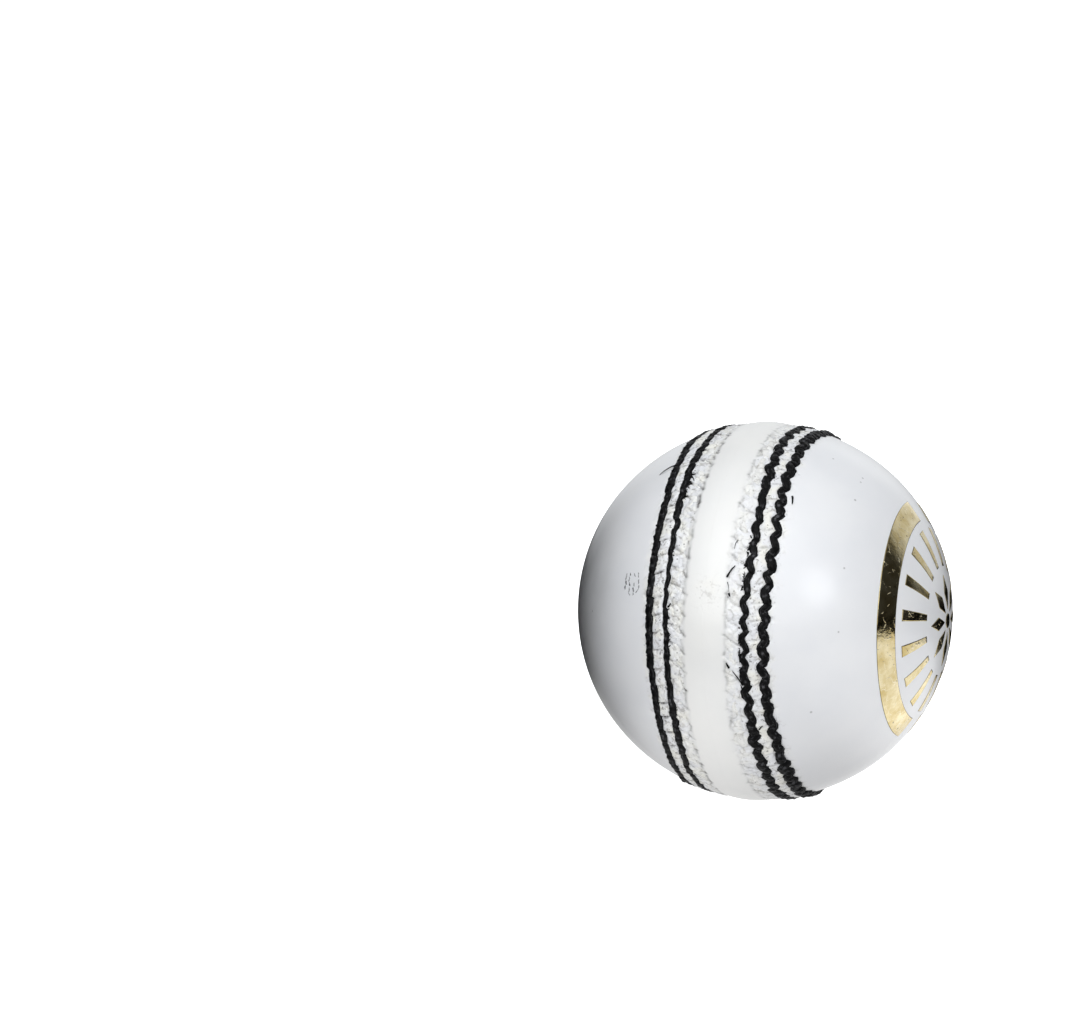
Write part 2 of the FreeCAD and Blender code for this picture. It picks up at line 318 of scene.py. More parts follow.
class Row:
    """One row of stitches: where it runs and how each stitch differs from its neighbours."""

    def __init__(self, name, seed):
        self.side = 1 if name.startswith("right") else -1
        self.plan = ROWS[name]
        rng = np.random.default_rng(seed)
        self.phase = rng.uniform(0, 1)
        self.slip = rng.normal(0, 0.09, STITCHES)
        self.swing = self.plan["swing"] * np.clip(rng.normal(0.95, 0.35, STITCHES), 0.25, 1.5)
        self.girth = np.clip(rng.normal(1.0, 0.08, STITCHES), 0.82, 1.16)
        self.shift = rng.normal(0, 0.07, STITCHES)
        self.sink = rng.normal(0, self.plan.get("sinking", SINKING), STITCHES)
        # How deep the creases at each hole are, and so how dark their painted shade and soiling
        self.grime_and_shade = rng.uniform(0, 1, STITCHES)

    def line(self, longitude):
        """Latitude of the row, without its side's sign."""
        return self.plan["latitude"] + round_curve(self.plan["sway"], longitude)

    def width(self, longitude):
        """Width of the cord."""
        return round_curve(self.plan["widths"], longitude)

    def hole(self, index):
        """Longitude of the awl hole where each stitch starts."""
        return (index + self.phase + self.slip[index % STITCHES]) * STITCH_PITCH

    def place(self, longitude):
        """Stitch number and the share of the stitch that has passed, at each longitude."""
        numbers = np.arange(-2, STITCHES + 2)
        share = np.interp(longitude % 360, self.hole(numbers), numbers)
        index = np.floor(share).astype(int)
        return index % STITCHES, share - index

    def distance(self, latitude, longitude):
        """Millimetres from the cord's snaking centre line, positive outwards."""
        index, share = self.place(longitude)
        line = self.line(longitude) - (self.swing[index] * stitch_wave(share) + self.shift[index]) / DEGREE
        return (latitude - line) * DEGREE


class Cup:
    """The rows of one cup. side is 1 for the right cup and -1 for the left."""

    def __init__(self, name):
        self.name = name
        self.side = 1 if name == "right" else -1
        self.seed = SEED + (0 if self.side > 0 else 50)
        self.primary = Row(name + "_primary", self.seed + 10)
        self.inner = Row(name + "_inner", self.seed + 20)
        self.outer = Row(name + "_outer", self.seed + 30)


# ---- leather relief: heights and widths in millimetres, and shares from 0 to 1 ----

def creases(row, longitude, width):
    """Thin valleys across the leather at the holes of a row: depth from 0 to 1."""
    index, share = row.place(longitude)
    nearest = np.minimum(share, 1.0 - share) * STITCH_PITCH * DEGREE
    hole = np.where(share < 0.5, index, (index + 1) % STITCHES)
    return bell(nearest, width) * (0.45 + 0.55 * row.grime_and_shade[hole])


def arch(share):
    """Round arch over shares from 0 to 1: 0 at both ends and 1 midway."""
    return np.sqrt(np.clip(1.0 - (2.0 * share - 1.0) ** 2, 0.0, 1.0))


def pad_relief(cup, latitude, longitude, lumps, fine, folds):
    """Height, darkness and cover of the leather pinched up between the inner and the outer row."""
    from_inner = cup.inner.distance(latitude, longitude)
    from_outer = -cup.outer.distance(latitude, longitude)
    across = np.clip(from_inner / (from_inner + from_outer + 1e-6), 0, 1)
    inside = step(0.3, 0.9, from_inner) * step(0.3, 0.9, from_outer)
    lean = cup.side * 1.3 * (across - 0.5) + 0.25 * lumps
    crease = creases(cup.outer, longitude + lean, 0.14 + 0.5 * (across - 0.5) ** 2)
    nick = creases(cup.outer, longitude + lean, 0.22) * bell(across - 0.5, 0.22) * step(-0.7, -0.1, folds)
    depth = 1.0 if cup.side < 0 else 0.4
    height = 0.12 + 0.2 * arch(across) + 0.1 * lumps + 0.09 * fine - depth * (0.3 * crease + 0.14 * nick)
    # The darkness is painted shade in the creases and in the nicks by the holes, with some soiling
    dark = inside * depth * np.clip(0.15 * crease ** 2 + 1.5 * nick, 0, 1)
    return inside * height, dark, inside


def foot_relief(cup, latitude, longitude, lumps, fine, folds):
    """Height, darkness and cover of the puckered leather between the smooth band and the inner row."""
    _, share = cup.primary.place(longitude)
    scallop = 0.3 * np.abs(np.sin(np.pi * share)) - 0.15
    down = (latitude - RIDGE_LATITUDE - 0.28 * lumps + scallop) * DEGREE
    from_inner = -cup.inner.distance(latitude, longitude)
    rise = np.clip(from_inner / (np.clip(down, 0, None) + from_inner + 1e-6), 0, 1.3)
    inside = step(-0.3, 0.5, down) * step(0.35, 0.95, from_inner)
    reach = step(-0.9, 0.3, down) * step(0.3, 0.8, from_inner)
    lean = cup.side * 3.4 * rise ** 1.7 + 0.4 * lumps
    points = direction(latitude * cup.side, longitude) * LEATHER_RADIUS
    patchy = step(-0.35, 0.35, noise(points, 5.0, cup.seed + 6))
    depth = 0.75 + 0.35 * patchy if cup.side < 0 else 0.3 + 0.45 * patchy
    crease = creases(cup.primary, longitude + lean, 0.12 + 0.12 * depth) * reach * depth
    wrinkle = bell(folds, 0.13) * inside
    border = bell(down, 0.24) * step(-0.4, 0.3, folds + lumps) * depth
    swell = arch(cup.primary.place(longitude + lean)[1])
    height = inside * (0.14 + 0.14 * swell * depth + 0.13 * lumps + 0.09 * fine)
    height -= 0.3 * crease + 0.09 * wrinkle + 0.12 * border
    # The darkness is painted shade, with some soiling, in the creases and folds, and a painted shadow along
    # the band's scalloped edge
    dark = 1.1 * crease ** 1.1 * step(-0.9, -0.1, lumps + 0.4 * fine)
    dark += 0.45 * wrinkle * step(0.1, 0.7, lumps) + 0.75 * border * depth
    return height, dark, inside


def leather_relief(cup, latitude, longitude):
    """Height over the plain leather, darkness (painted shade in its creases, with some soiling), and how
    puckered and how speckled it is.
    """
    points = direction(latitude * cup.side, longitude) * LEATHER_RADIUS
    fine = noise(points, 0.42, cup.seed + 1)
    lumps = noise(points, 1.2, cup.seed + 2)
    broad = noise(points, 9.0, cup.seed + 3)
    folds = noise(points, 0.95, cup.seed + 4)
    to_edge = np.cos(np.radians(90 * np.clip(latitude / RIDGE_LATITUDE, 0, 1)))
    crown = RIDGE_EDGE_HEIGHT + (RIDGE_HEIGHT - RIDGE_EDGE_HEIGHT) * to_edge
    ridge = crown * (1.0 - step(-0.9, 1.2, latitude - RIDGE_LATITUDE - 0.15 * lumps))
    grooves = np.zeros_like(latitude)
    for row in (cup.inner, cup.outer):
        grooves += 0.5 * bell(row.distance(latitude, longitude), 0.42 * row.width(longitude))
    pad, pad_dark, on_pad = pad_relief(cup, latitude, longitude, lumps, fine, folds)
    foot, foot_dark, on_foot = foot_relief(cup, latitude, longitude, lumps, fine, folds)
    beyond = cup.outer.distance(latitude, longitude)
    lip = step(0.4, 0.9, beyond) * (1.0 - step(1.0, 2.4, beyond))
    height = ridge + pad + foot - grooves
    height += lip * (0.07 + 0.04 * lumps - 0.1 * creases(cup.outer, longitude + 0.3, 0.45))
    height -= 0.025 * step(20.0, 26.0, latitude) * (1.0 + broad)
    dark = np.clip(pad_dark + foot_dark, 0, 1)
    scuff = 0.5 * bell(np.hypot(latitude * cup.side - SCUFF[0], longitude - SCUFF[1]), SCUFF[2])
    rough = np.clip(on_pad + (1.0 if cup.side < 0 else 0.6) * on_foot + 0.5 * lip + scuff, 0, 1)
    return height, dark, rough, np.clip(on_pad + 0.45 * rough, 0, 1)


# ---- meshes ----

def bridge(first, second):
    """Faces between two rings of vertex numbers: alike, one twice as long, or one a point."""
    after = first[1:] + first[:1]
    if len(second) == 1:
        return [(here, beside, second[0]) for here, beside in zip(first, after)]
    if len(first) == 1 or len(second) > len(first):
        return [face[::-1] for face in bridge(second, first)]
    beyond = second[1:] + second[:1]
    if len(second) == len(first):
        return list(zip(first, after, beyond, second))
    faces = []
    for j, (here, beside) in enumerate(zip(second, beyond)):
        corner, middle, far = first[2 * j], first[2 * j + 1], after[2 * j + 1]
        faces += [(corner, middle, here), (middle, far, beside), (middle, beside, here)]
    return faces


def rings_to_mesh(rings):
    """Points and faces of a closed surface through rings of points."""
    faces, before, start = [], None, 0
    for ring in rings:
        numbers = list(range(start, start + len(ring)))
        if before is not None:
            faces += bridge(before, numbers)
        before = numbers
        start += len(ring)
    return np.concatenate(rings), faces


def join(parts):
    """One mesh from several, each given as points, faces and fields."""
    faces, base = [], 0
    for points, part_faces, _ in parts:
        faces += [tuple(base + v for v in face) for face in part_faces]
        base += len(points)
    fields = {name: np.concatenate([part[2][name] for part in parts]) for name in parts[0][2]}
    return np.concatenate([part[0] for part in parts]), faces, fields


def new_object(name, data):
    """Object that shows a mesh or a camera in the scene."""
    thing = bpy.data.objects.new(name, data)
    bpy.context.scene.collection.objects.link(thing)
    return thing


def new_piece(name, shape, material):
    """Object from a mesh in millimetres that rides on the ball and replaces the CAD node of its name."""
    points, faces, fields = shape
    mesh = bpy.data.meshes.new(name)
    mesh.from_pydata((points * MM).tolist(), [], faces)
    for field_name, values in fields.items():
        attribute = mesh.attributes.new(field_name, "FLOAT", "POINT")
        attribute.data.foreach_set("value", np.asarray(values, dtype=np.float32))
    mesh.polygons.foreach_set("use_smooth", np.ones(len(mesh.polygons), dtype=bool))
    mesh.materials.append(material)
    mesh.update()
    piece = new_object(name, mesh)
    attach(piece, "root")
    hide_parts(name)
    return piece


# ---- leather cups ----

def longitudes(count):
    """Evenly spaced longitudes round the ball."""
    return np.arange(count) * 360.0 / count


def outer_ring(cup, latitude, count, fields):
    """Points of one ring of the leather's outside, and its fields."""
    longitude = longitudes(count)
    latitude = np.full(count, latitude)
    height, dark, rough, pad = leather_relief(cup, latitude, longitude)
    fields["crease"].append(dark)
    fields["rough"].append(rough)
    fields["pad"].append(pad)
    fields["band"].append(1.0 - step(*BAND_FADE, latitude))
    outwards = direction(latitude * cup.side, longitude)
    # Share of the faint patch of painted shade on the left cup near its edge
    apart = np.degrees(np.arccos(outwards @ direction(*LIMB_SHADE_PATCH[:2])))
    fields["limb_shade"].append(1.0 - step(*LIMB_SHADE_PATCH[2:], apart))
    return outwards * (LEATHER_RADIUS + height)[:, None]


def plain_ring(cup, latitude, count, radius, fields):
    """Points of one ring of the leather's inside or pole."""
    for values in fields.values():
        values.append(np.zeros(count))
    return direction(np.full(count, latitude * cup.side), longitudes(count)) * radius


def cup_rings(cup, fields):
    """Rings from the outside pole over the seam band to the rim, then back along the inside."""
    rings = [plain_ring(cup, 90.0, 1, LEATHER_RADIUS - POLE_DIP, fields)]
    dome = PUCKER_END + (POLE_LATITUDE - PUCKER_END) * np.linspace(1, 0, DOME_ROWS)[:-2]
    sizes = [COARSE_COLUMNS // 2, COARSE_COLUMNS // 4, COARSE_COLUMNS // 8]
    for number, latitude in enumerate(dome):
        size = sizes[-1 - number] if number < len(sizes) else COARSE_COLUMNS
        rings.append(outer_ring(cup, latitude, size, fields))
    gap = dome[-1] - PUCKER_END
    rings.append(outer_ring(cup, PUCKER_END + gap / 3, COLUMNS // 2, fields))
    for latitude in np.linspace(PUCKER_END, 0.0, BAND_ROWS):
        rings.append(outer_ring(cup, latitude, COLUMNS, fields))
    for size, depth in ((COLUMNS, 0.15), (COLUMNS // 2, 0.6), (COARSE_COLUMNS, 1.0)):
        radius = LEATHER_RADIUS - (LEATHER_RADIUS - INNER_RADIUS) * depth
        rings.append(plain_ring(cup, 0.0, size, radius, fields))
    inside = np.linspace(0, POLE_LATITUDE, INSIDE_ROWS)[1:]
    for latitude, size in zip(inside, [COARSE_COLUMNS] * (len(inside) - len(sizes)) + sizes):
        rings.append(plain_ring(cup, latitude, size, INNER_RADIUS, fields))
    rings.append(plain_ring(cup, 90.0, 1, INNER_RADIUS, fields))
    for ring in rings:
        ring[:, 0] = np.where(np.abs(ring[:, 0]) < RIM_GAP, RIM_GAP * cup.side, ring[:, 0])
    return rings


def leather_cup(cup, material):
    """One half of the case, with its puckered seam band."""
    fields = {"crease": [], "rough": [], "pad": [], "band": [], "limb_shade": []}
    points, faces = rings_to_mesh(cup_rings(cup, fields))
    if cup.side < 0:
        faces = [face[::-1] for face in faces]
    joined = {name: np.concatenate(parts) for name, parts in fields.items()}
    shape = (points, faces, joined)
    piece = new_piece("leather_cup_" + cup.name, shape, material)
    piece.data.set_sharp_from_angle(angle=math.radians(SHARP_ANGLE))


# ---- thread ----

def tube(path, across_radius, upward_radius, sides, plies, twist):
    """Closed cord of twisted plies along a path."""
    tangent = np.gradient(path, axis=0)
    tangent /= np.linalg.norm(tangent, axis=1)[:, None]
    outward = path / np.linalg.norm(path, axis=1)[:, None]
    across = np.cross(tangent, outward)
    across /= np.linalg.norm(across, axis=1)[:, None]
    outward = np.cross(across, tangent)
    run = np.concatenate([[0], np.cumsum(np.linalg.norm(np.diff(path, axis=0), axis=1))])
    angle = np.arange(sides) * 2 * np.pi / sides
    turn = plies * angle - run[:, None] * twist
    ply = 0.9 + 0.2 * np.abs(np.cos(turn / 2)) if plies > 1 else np.ones_like(turn)
    ragged = path[:, None] + np.stack([np.cos(angle), np.sin(angle), np.zeros(sides)], axis=-1)
    ply = ply * (1.0 + 0.2 * noise(ragged, FIBRE_SIZE, SEED))
    side = (across_radius[:, None] * np.cos(angle) * ply)[..., None] * across[:, None]
    up = (upward_radius[:, None] * np.sin(angle) * ply)[..., None] * outward[:, None]
    rings = list(path[:, None] + side + up)
    points, faces = rings_to_mesh([path[:1]] + rings + [path[-1:]])
    along = run + FIBRE_SHIFT * abs(float(path[0, 2])) % FIBRE_SPAN
    fields = {
        "along": np.concatenate([along[:1], np.repeat(along, sides), along[-1:]]),
        "turn": np.concatenate([[0], np.tile(np.sin(angle), len(path)), [0]]),
        "end": np.concatenate([[0], np.repeat(np.minimum(run, run[-1] - run), sides), [0]]),
    }
    return points, faces, fields


def stitch(row, index, shape):
    """One stitch: up out of its hole, over to the seam side, and slowly back to the next hole."""
    share = np.linspace(-shape["tuck"], 1 + shape["tuck"], shape["rings"])
    start = row.hole(index)
    end = row.hole(index + 1)
    longitude = start + (end - start) * share
    swing = row.swing[index] * stitch_wave(np.clip(share, 0.0, 0.9999)) + row.shift[index]
    latitude = row.side * (row.line(longitude) - swing / DEGREE)
    to_end = np.minimum(share, 1.0 - share)
    dip = shape["dip"] * (1.0 - step(-0.02, 0.22, to_end))
    dip += shape["dive"] * np.clip(-to_end / shape["tuck"], 0, 1)
    radius = LEATHER_RADIUS + shape["lift"] - dip + row.sink[index]
    half = 0.55 * row.width(longitude) * row.girth[index]
    half = half * (0.88 + 0.12 * step(0.0, 0.2, to_end))
    path = direction(latitude, longitude) * radius[:, None]
    return tube(path, half, half * shape["flatness"], shape["sides"], PLIES, PLY_TWIST * row.side)


def stitches(row, shape):
    """All the stitches of a row."""
    return [stitch(row, index, shape) for index in range(STITCHES)]


def fibre(points, thickness, rings=12):
    """Loose fibre through (latitude, longitude, height) points, thinning to its tip."""
    points = np.array(points, dtype=float)
    share = np.linspace(0, len(points) - 1, rings)
    track = np.stack([np.interp(share, np.arange(len(points)), points[:, k]) for k in range(3)], axis=-1)
    for _ in range(2):
        track[1:-1] = (track[:-2] + 2 * track[1:-1] + track[2:]) / 4
    path = direction(track[:, 0], track[:, 1]) * (LEATHER_RADIUS + track[:, 2])[:, None]
    radius = thickness * np.linspace(1.0, 0.45, rings)
    return tube(path, radius, radius, 8, 1, 0.0)


def frays(row, start, end, count, reach, seed):
    """Short fibres that have worked loose from the seam side of a row between two longitudes."""
    rng = np.random.default_rng(seed)
    parts = []
    for _ in range(count):
        longitude = rng.uniform(start, end)
        root = row.line(longitude) - FRAY_ROOT / DEGREE
        length = rng.uniform(0.4, 1.0) * reach / DEGREE
        bend = rng.uniform(-1.3, 1.3)
        thickness = rng.uniform(*FRAY_THICKNESSES)
        points = []
        for share, height in ((0.0, 0.25), (0.5, 0.3), (1.0, 0.12)):
            points.append((row.side * (root - length * share), longitude + bend * share ** 1.5, height))
        parts.append(fibre(points, thickness))
    return parts


def black_thread(cup, material):
    """Both black rows of a cup with their loose fibres."""
    parts = stitches(cup.inner, BLACK_STITCH) + stitches(cup.outer, BLACK_STITCH)
    parts += [fibre(points, thickness) for points, thickness in LOOSE_FIBRES[cup.name]]
    first, last, length, count, reach = SPARSELY_FRAYED
    sparse = [(start, start + length, count, reach) for start in range(first, last, length)]
    for number, stretch in enumerate(list(FRAYED[cup.name]) + sparse):
        parts += frays(cup.inner, *stretch, cup.seed + number)
    new_piece("seam_thread_" + cup.name, join(parts), material)


def white_thread(cups, material):
    """The primary stitches each side of the smooth band, lacquered over with the leather."""
    parts = []
    for cup in cups:
        parts += stitches(cup.primary, WHITE_STITCH)
    new_piece("seam_thread_primary", join(parts), material)


# ---- gold stamp and ink ----

def plate_border(rows, columns):
    """Vertex numbers round the edge of a grid."""
    grid = np.arange(rows * columns).reshape(rows, columns)
    return np.concatenate([grid[0], grid[1:, -1], grid[-1, -2::-1], grid[-2:0:-1, 0]]).tolist()


def plate(directions, roughness):
    """Thin closed plate over a grid of directions, with lowered edges and a crinkled top."""
    rows, columns = directions.shape[:2]
    edge = np.zeros((rows, columns))
    edge[[0, -1]] = 1.0
    edge[:, [0, -1]] = 1.0
    crinkle = roughness * noise(directions * LEATHER_RADIUS, 0.9, SEED + 70) * (1.0 - edge)
    radius = FOIL_TOP + crinkle + (FOIL_EDGE - FOIL_TOP) * edge
    top = (directions * radius[..., None]).reshape(-1, 3)
    bottom = (directions * FOIL_BOTTOM).reshape(-1, 3)
    count = rows * columns
    faces = []
    for i, j in itertools.product(range(rows - 1), range(columns - 1)):
        a = i * columns + j
        b, c, d = a + 1, a + columns + 1, a + columns
        faces.append((a, b, c, d))
        faces.append((count + d, count + c, count + b, count + a))
    border = plate_border(rows, columns)
    for here, after in zip(border, border[1:] + border[:1]):
        faces.append((after, here, count + here, count + after))
    normal = np.cross(directions[0, 1] - directions[0, 0], directions[1, 1] - directions[0, 0])
    if normal @ directions[0, 0] < 0:
        faces = [face[::-1] for face in faces]
    fields = {"edge": np.concatenate([edge.reshape(-1), np.ones(count)])}
    return np.concatenate([top, bottom]), faces, fields


def graded(count):
    """Shares from 0 to 1, close together at both ends so that a plate's edge stays narrow."""
    return np.concatenate([[0.0, 0.03], np.linspace(0.1, 0.9, count - 4), [0.97, 1.0]])


def from_pole(radius, longitude):
    """Directions at distances from the X axis (mm) and longitudes."""
    return direction(90.0 - np.degrees(np.arcsin(radius / LEATHER_RADIUS)), longitude)


def foil_arc(start):
    """Broad arc of foil round the pole."""
    colatitude = ARC_COLATITUDES[0] + (ARC_COLATITUDES[1] - ARC_COLATITUDES[0]) * graded(16)
    middle = np.linspace(0.5, ARC_SPAN - 0.5, 200)
    longitude = start + np.concatenate([[0.0, 0.15], middle, [ARC_SPAN - 0.15, ARC_SPAN]])
    colatitude, longitude = np.meshgrid(colatitude, longitude, indexing="ij")
    return direction(90.0 - colatitude, longitude)


def foil_bar(longitude, radii, half_width):
    """Bar that points out from the pole. half_width gives half its width at a share of its length."""
    length, side = np.meshgrid(graded(20), 2 * graded(10) - 1, indexing="ij")
    reach = radii[0] + (radii[1] - radii[0]) * length
    aside = side * half_width(length)
    return from_pole(np.hypot(reach, aside), longitude + np.degrees(np.arctan2(aside, reach)))


def ray_half_width(length):
    """Half the width of a tapered ray."""
    return RAY_HALF_WIDTHS[0] + (RAY_HALF_WIDTHS[1] - RAY_HALF_WIDTHS[0]) * length


def petal_half_width(length):
    """Half the width of a lozenge, which comes to a blunt point at both ends."""
    return PETAL_HALF_WIDTH * (1.0 - np.abs(2 * length - 1)) + 0.02


def foil_hub():
    """Small disc on the pole, as a square grid pressed into a circle."""
    u, v = np.meshgrid(2 * graded(14) - 1, 2 * graded(14) - 1, indexing="ij")
    y = HUB_RADIUS * u * np.sqrt(1 - v * v / 2)
    z = HUB_RADIUS * v * np.sqrt(1 - u * u / 2)
    return from_pole(np.hypot(y, z), np.degrees(np.arctan2(-y, z)))


def gold_stamp(material):
    """Two broad arcs round a sunburst of bars and a small rosette."""
    grids = [foil_arc(start) for start in ARC_STARTS]
    for turn in longitudes(RAY_COUNT):
        grids.append(foil_bar(RAY_START + turn, RAY_RADII, ray_half_width))
    for turn in longitudes(PETAL_COUNT):
        grids.append(foil_bar(turn, PETAL_RADII, petal_half_width))
    grids.append(foil_hub())
    parts = [plate(grid, FOIL_CRINKLE) for grid in grids]
    new_piece("gold_foil_stamp", join(parts), material)


def fleck(east, south, length, width, slant, rng):
    """Worn scrap of an ink dash, at millimetres from the middle of the mark."""
    share, side = np.meshgrid(np.linspace(-0.5, 0.5, 9), np.linspace(-0.5, 0.5, 4), indexing="ij")
    uneven = rng.uniform(0.45, 1.2, 9)[:, None] * np.sqrt(np.clip(1.02 - 4 * share ** 2, 0, 1))
    x = side * width * uneven + np.cumsum(rng.normal(0, 0.05, 9))[:, None]
    y = share * length
    turn = math.radians(slant)
    right = east + x * math.cos(turn) - y * math.sin(turn)
    down = south + x * math.sin(turn) + y * math.cos(turn)
    lift = math.cos(math.radians(INK_LATITUDE))
    return direction(INK_LATITUDE + right / DEGREE, INK_LONGITUDE + down / DEGREE / lift)


def ink_mark(material):
    """Short printed dashes side by side on the left cup, rubbed into scraps."""
    rng = np.random.default_rng(SEED + 80)
    parts = []
    for dash in range(INK_DASHES):
        east = (dash - (INK_DASHES - 1) / 2) * INK_PITCH
        place = -INK_LENGTH / 2
        while place < INK_LENGTH / 2 - SHORTEST_FLECK:
            length = min(rng.uniform(*FLECK_LENGTHS), INK_LENGTH / 2 - place)
            width = rng.uniform(*FLECK_WIDTHS)
            if rng.uniform() < FLECKS_KEPT:
                aside = east + rng.normal(0, 0.1)
                slant = rng.normal(0, 14)
                grid = fleck(aside, place + length / 2, length, width, slant, rng)
                parts.append(plate(grid, 0.0))
            place += length + rng.uniform(*FLECK_GAPS)
    new_piece("ink_mark", join(parts), material)


# ---- materials ----

def new_material(name):
    """Material with its node tree and its shader."""
    material = bpy.data.materials.new(name)
    material.use_nodes = True
    return material, material.node_tree, material.node_tree.nodes["Principled BSDF"]


def fill(tree, node, inputs):
    """Sets a node's inputs; an input given as a socket is linked."""
    for name, value in inputs.items():
        if isinstance(value, bpy.types.NodeSocket):
            tree.links.new(value, node.inputs[name])
        else:
            node.inputs[name].default_value = value


def add(tree, kind, inputs, **settings):
    """New shader node with inputs and settings."""
    node = tree.nodes.new("ShaderNode" + kind)
    for name, value in settings.items():
        setattr(node, name, value)
    fill(tree, node, inputs)
    return node


def object_place(tree):
    """Socket with the place on an object, in metres."""
    return add(tree, "TexCoord", {}).outputs["Object"]


def field(tree, name):
    """Socket with a value that the mesh carries."""
    return add(tree, "Attribute", {}, attribute_name=name).outputs["Fac"]


def vector_node(tree, operation, first, second):
    """Node with the result of a sum on two vectors."""
    return add(tree, "VectorMath", {0: first, 1: second}, operation=operation)


def millimetres(tree):
    """Socket with the place on the ball, in millimetres."""
    return vector_node(tree, "MULTIPLY", object_place(tree), (1 / MM, 1 / MM, 1 / MM)).outputs["Vector"]


def math_node(tree, operation, first, second):
    """Socket with the result of a sum on two values."""
    return add(tree, "Math", {0: first, 1: second}, operation=operation).outputs[0]


def times(tree, first, second):
    """Socket with two values multiplied."""
    return math_node(tree, "MULTIPLY", first, second)


def remap(tree, value, low, high, new_low=0.0, new_high=1.0, shape="LINEAR"):
    """Socket with a value moved from one range to another, clamped."""
    return add(tree, "MapRange", {
        "Value": value, "From Min": low, "From Max": high, "To Min": new_low, "To Max": new_high,
    }, interpolation_type=shape).outputs["Result"]


def mix_colour(tree, share, first, second, blend="MIX"):
    """Socket with two colours mixed."""
    inputs = {0: share, 6: first, 7: second}
    return add(tree, "Mix", inputs, data_type="RGBA", blend_type=blend).outputs[2]


def noise_node(tree, point, scale, detail=2.0, roughness=0.5):
    """Socket with fractal noise from 0 to 1."""
    inputs = {"Vector": point, "Scale": scale, "Detail": detail, "Roughness": roughness}
    return add(tree, "TexNoise", inputs).outputs["Fac"]


def cells_node(tree, point, scale):
    """Sockets with the distance from the middle of an uneven cell and the cell's random value."""
    cells = add(tree, "TexVoronoi", {"Vector": point, "Scale": scale})
    chance = add(tree, "SeparateColor", {"Color": cells.outputs["Color"]}).outputs[0]
    return cells.outputs["Distance"], chance


def specks(tree, point, scale, size, share):
    """Socket that is 1 in small round specks, in a share of the texture's cells."""
    distance, chance = cells_node(tree, point, scale)
    return times(tree, remap(tree, distance, size, size * 0.55), remap(tree, chance, share, share * 0.9))


def cell_lines(tree, point, scale, width):
    """Socket that is 1 along the broken outlines of uneven cells."""
    bend = add(tree, "TexNoise", {"Vector": point, "Scale": 0.9}).outputs["Color"]
    bent = vector_node(tree, "ADD", point, bend).outputs["Vector"]
    cells = add(tree, "TexVoronoi", {"Vector": bent, "Scale": scale}, feature="DISTANCE_TO_EDGE")
    line = remap(tree, cells.outputs["Distance"], 0.0, width, 1.0, 0.0)
    return times(tree, line, remap(tree, noise_node(tree, point, 0.8), 0.47, 0.6))


def seam_lines_and_dirt(tree, point):
    """Sockets that are 1 in the seam's fine lines, dirty marks and specks."""
    lines = cell_lines(tree, point, 0.5, 0.11)
    marks = remap(tree, noise_node(tree, point, 1.5, 3.0, 0.65), 0.59, 0.67)
    return lines, marks, specks(tree, point, 1.15, 0.24, 0.25)


def bump(tree, height, strength, distance):
    """Socket with the normal of a bumped surface."""
    inputs = {"Height": height, "Strength": strength, "Distance": distance * MM}
    return add(tree, "Bump", inputs).outputs["Normal"]


def leather_colour(tree, point, rough):
    """Socket with the leather's colour: creamy on the band, cool on the cups, with painted shade and some
    soiling in its creases, and a faint patch of painted shade on the left cup.
    """
    cloud = remap(tree, noise_node(tree, point, 0.09, 3.0), 0.35, 0.65)
    shade = mix_colour(tree, cloud, (0.955, 0.96, 0.97, 1), (1, 1, 1, 1))
    base = mix_colour(tree, field(tree, "band"), (0.79, 0.795, 0.81, 1), (0.805, 0.80, 0.78, 1))
    base = mix_colour(tree, 1.0, base, shade, "MULTIPLY")
    cream = times(tree, rough, remap(tree, noise_node(tree, point, 0.35), 0.45, 0.65))
    base = mix_colour(tree, cream, base, (0.83, 0.82, 0.765, 1))
    # Painted shade: the left cup turns a mottled grey near its edge
    uneven = remap(tree, noise_node(tree, point, 0.16, 3.0), 0.3, 0.65, 0.1, 0.3)
    base = mix_colour(tree, times(tree, field(tree, "limb_shade"), uneven), base, (0.32, 0.32, 0.32, 1))
    lines, marks, spots = seam_lines_and_dirt(tree, point)
    base = mix_colour(tree, times(tree, times(tree, rough, lines), 0.65), base, SEAM_LINE_COLOUR)
    dark = times(tree, times(tree, marks, field(tree, "pad")), 0.75)
    # Painted shade, mixed with soiling, in the leather's creases, at an uneven strength
    grime_and_shade = remap(tree, noise_node(tree, point, 1.4), 0.3, 0.55, 0.4, 1.0)
    dark = math_node(tree, "MAXIMUM", dark, times(tree, field(tree, "crease"), grime_and_shade))
    dark = math_node(tree, "MAXIMUM", dark, times(tree, times(tree, rough, spots), 0.6))
    stray = times(tree, specks(tree, point, 0.19, 0.055, 0.4), 0.45)
    return mix_colour(tree, math_node(tree, "MAXIMUM", dark, stray), base, (0.045, 0.04, 0.036, 1))


def leather_material():
    """White lacquered leather, glossy on the cups and rough where it is puckered."""
    material, tree, shader = new_material("white_leather")
    point = millimetres(tree)
    rough = field(tree, "rough")
    grain = times(tree, noise_node(tree, point, 2.0, 4.0, 0.6), 0.08)
    pebble = math_node(tree, "ADD", noise_node(tree, point, 2.6, 4.0, 0.65), noise_node(tree, point, 0.9))
    height = math_node(tree, "ADD", grain, times(tree, rough, pebble))
    gloss = remap(tree, noise_node(tree, point, 0.09, 3.0), 0.3, 0.7, 0.34, 0.42)
    fill(tree, shader, {
        "Base Color": leather_colour(tree, point, rough),
        "Roughness": math_node(tree, "ADD", gloss, times(tree, rough, 0.15)),
        "Normal": bump(tree, height, 0.7, 0.26),
        "Coat Weight": 0.6,
        "Coat Roughness": 0.14,
    })
    return material


